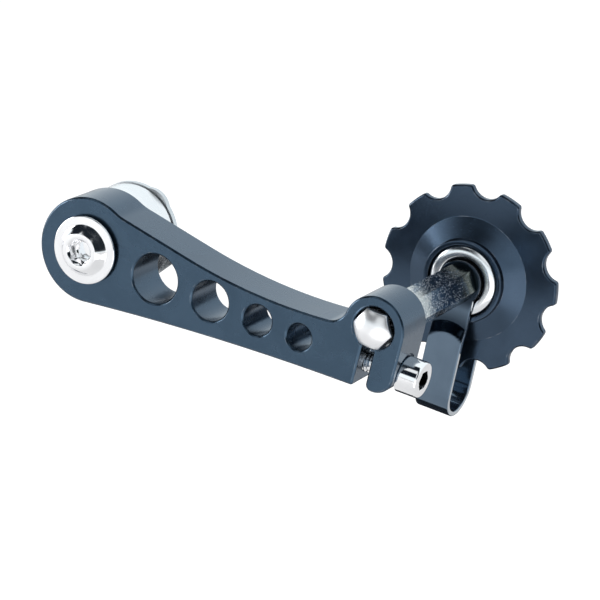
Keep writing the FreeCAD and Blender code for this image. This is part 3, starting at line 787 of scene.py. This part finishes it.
def floorFinish(look):
    material, tree, shader = mattFinish("paleFloor", look["floorTone"])
    shader.inputs["Specular IOR Level"].default_value = look["floorMirror"]
    path = addNode(tree, "ShaderNodeLightPath").outputs
    away = vectorSums(tree, "LENGTH", addNode(tree, "ShaderNodeTexCoord").outputs["Object"])
    seen = product(tree, seenRays(tree, path), spreadLength(tree, away, look["liftReach"], *look["seenLift"]))
    mirrored = spreadLength(tree, away, look["liftReach"], *look["mirroredLift"])
    lift = sums(tree, "ADD", seen, product(tree, path["Is Glossy Ray"], mirrored))
    shader.inputs["Emission Color"].default_value = white
    tree.links.new(lift, shader.inputs["Emission Strength"])
    return material


def makeFloor(look):
    bm = bmesh.new()
    squares = look["floorSquares"]
    bmesh.ops.create_grid(bm, x_segments=squares, y_segments=squares, size=look["floorReach"] * mm)
    bmesh.ops.translate(bm, verts=bm.verts, vec=(0, 0, look["floorHeight"] * mm))
    floor = meshObject("floor", bm)
    floor.data.materials.append(floorFinish(look))


# A dark card lies on the floor behind the part, where only polished metal shows it. It is painted shade: in
# reflections it stands for the shade under and behind the part.
def makeShadeCard(look):
    (left, front), (right, rear) = look["cardFrom"], look["cardTo"]
    bm = bmesh.new()
    bmesh.ops.create_grid(bm, x_segments=4, y_segments=2, size=0.5)
    bmesh.ops.scale(bm, verts=bm.verts, vec=((right - left) * mm, (rear - front) * mm, 1))
    middle = Vector(((left + right) / 2, (front + rear) / 2, look["cardHeight"])) * mm
    bmesh.ops.translate(bm, verts=bm.verts, vec=middle)
    card = meshObject("shadeStandInCard", bm)
    card.data.materials.append(mattFinish("shadeStandInCard", look["cardTone"])[0])
    card.visible_camera = False
    card.visible_diffuse = False
    card.visible_shadow = False


# The surroundings light the part plainly. What metal sees of them is a white sweep behind and overhead, a
# white patch at the side, a grey disc straight behind, and in front a dark room with a pale sill and two soft
# windows. All are given by a direction from the part, and their edges by how nearly others agree with it.
room = {
    "white": (0.97, 1.05, 1.09), "dark": (0.006, 0.010, 0.016), "horizon": (0.0, 0.05),
    "sweep": (0.362, 0.805, 0.469), "sweepEdge": (0.34, 0.39),
    "side": (-0.897, 0.396, 0.191), "sideEdge": (0.955, 0.98),
    "windows": [
        {"towards": (-0.67, -0.74, 0.0), "sides": (0.88, 0.93), "heights": (0.66, 0.71, 0.84, 0.88)},
        {"towards": (0.34, -0.94, 0.0), "sides": (0.90, 0.96), "heights": (0.28, 0.40, 0.72, 0.82)},
    ],
    "windowTone": (0.86, 0.90, 0.92), "front": (-0.342, -0.94, 0.0), "sill": 0.28, "sillSides": (0.40, 0.60),
    "rear": (0.0, 1.0, 0.0), "rearEdge": (0.93, 0.965), "rearTone": (0.10, 0.13, 0.16),
}


def makeWorld():
    world = bpy.data.worlds.new("studio")
    world.use_nodes = True
    tree = world.node_tree
    tree.nodes.clear()
    facing = addNode(tree, "ShaderNodeTexCoord").outputs["Generated"]
    height = addNode(tree, "ShaderNodeSeparateXYZ", {"Vector": facing}).outputs["Z"]
    level = vectorSums(tree, "NORMALIZE", vectorSums(tree, "MULTIPLY", facing, (1, 1, 0)))

    def towards(direction, source=facing):
        return vectorSums(tree, "DOT_PRODUCT", source, direction)

    def background(colour, strength):
        return addNode(tree, "ShaderNodeBackground", {"Color": colour, "Strength": strength}).outputs[0]

    def mixed(factor, first, second):
        return addNode(tree, "ShaderNodeMixShader", {0: factor, 1: first, 2: second}).outputs[0]

    window = 0.0
    for values in room["windows"]:
        low, lowFull, highFull, high = values["heights"]
        rising, falling = spread(tree, height, low, lowFull), spread(tree, height, highFull, high, 1.0, 0.0)
        upright = product(tree, rising, falling)
        across = spread(tree, towards(values["towards"], level), *values["sides"])
        window = sums(tree, "MAXIMUM", window, product(tree, upright, across))
    raised = product(tree, spread(tree, towards(room["front"], level), *room["sillSides"]), room["sill"])
    above = spread(tree, sums(tree, "SUBTRACT", height, raised), *room["horizon"])
    unswept = spread(tree, towards(room["sweep"]), *room["sweepEdge"], 1.0, 0.0)
    unsided = spread(tree, towards(room["side"]), *room["sideEdge"], 1.0, 0.0)
    walls = blendColours(tree, product(tree, above, unswept, unsided), room["white"], room["dark"])
    walls = blendColours(tree, window, walls, room["windowTone"])
    walls = blendColours(tree, spread(tree, towards(room["rear"]), *room["rearEdge"]), walls, room["rearTone"])
    path = addNode(tree, "ShaderNodeLightPath").outputs
    lit = mixed(path["Is Glossy Ray"], background(white, studio["ambient"]), background(walls, 1.0))
    surface = mixed(seenRays(tree, path), lit, background(white, studio["seenWhite"]))
    addNode(tree, "ShaderNodeOutputWorld", {"Surface": surface})
    scene.world = world


# Sheen lamps work in reflections alone, and the others light the part but show in no mirror
lampAim = (45.0, 0.0, 0.0)
lamps = {
    "keyLeft": {"place": (-380.0, -520.0, 260.0), "size": 420.0, "power": 1.9, "sheen": False},
    "fillRight": {"place": (560.0, -260.0, 300.0), "size": 500.0, "power": 0.8, "sheen": False},
    "backTop": {"place": (-60.0, 480.0, 520.0), "size": 600.0, "power": 1.1, "sheen": False},
    "lowLeft": {"place": (-401.0, -122.0, 60.0), "size": 300.0, "power": 1.0, "sheen": True},
    "lowFront": {"place": (125.0, -125.0, -90.0), "size": 220.0, "power": 0.10, "sheen": True},
}


def makeLamps():
    target = Vector(lampAim) * mm
    for name, values in lamps.items():
        light = bpy.data.lights.new(name, "AREA")
        light.shape = "DISK"
        light.size = values["size"] * mm
        light.energy = values["power"]
        lamp = bpy.data.objects.new(name, light)
        lamp.location = Vector(values["place"]) * mm
        lamp.rotation_mode = "QUATERNION"
        lamp.rotation_quaternion = (target - lamp.location).to_track_quat("-Z", "Y")
        lamp.visible_glossy = values["sheen"]
        lamp.visible_diffuse = not values["sheen"]
        scene.collection.objects.link(lamp)


# The camera stands where the picture was taken from. Its focal length is in points of that picture, and its
# clip distances are in metres.
shot = {
    "azimuth": 25.343, "elevation": 18.116, "roll": 7.148, "place": (306.15, -554.83, 195.15),
    "focal": 2915.8, "pictureWidth": 600, "sensor": 36.0, "clip": (0.01, 20.0),
}


def makeCamera():
    azimuth, elevation, roll = toRadians((shot["azimuth"], shot["elevation"], shot["roll"]))
    flat = math.cos(elevation)
    back = Vector((math.sin(azimuth) * flat, -math.cos(azimuth) * flat, math.sin(elevation)))
    level = Vector((math.cos(azimuth), math.sin(azimuth), 0))
    upright = back.cross(level)
    right = level * math.cos(roll) + upright * math.sin(roll)
    above = upright * math.cos(roll) - level * math.sin(roll)
    data = bpy.data.cameras.new("camera")
    data.sensor_width = shot["sensor"]
    data.lens = shot["sensor"] * shot["focal"] / shot["pictureWidth"]
    data.clip_start, data.clip_end = shot["clip"]
    camera = bpy.data.objects.new("camera", data)
    scene.collection.objects.link(camera)
    turned = Matrix((right, above, back)).transposed()
    camera.matrix_world = Matrix.Translation(Vector(shot["place"]) * mm) @ turned.to_4x4()
    scene.camera = camera


makeFloor(studio)
makeShadeCard(studio)
makeWorld()
makeLamps()
makeCamera()
scene.view_settings.view_transform = "Standard"
print("studio ready")
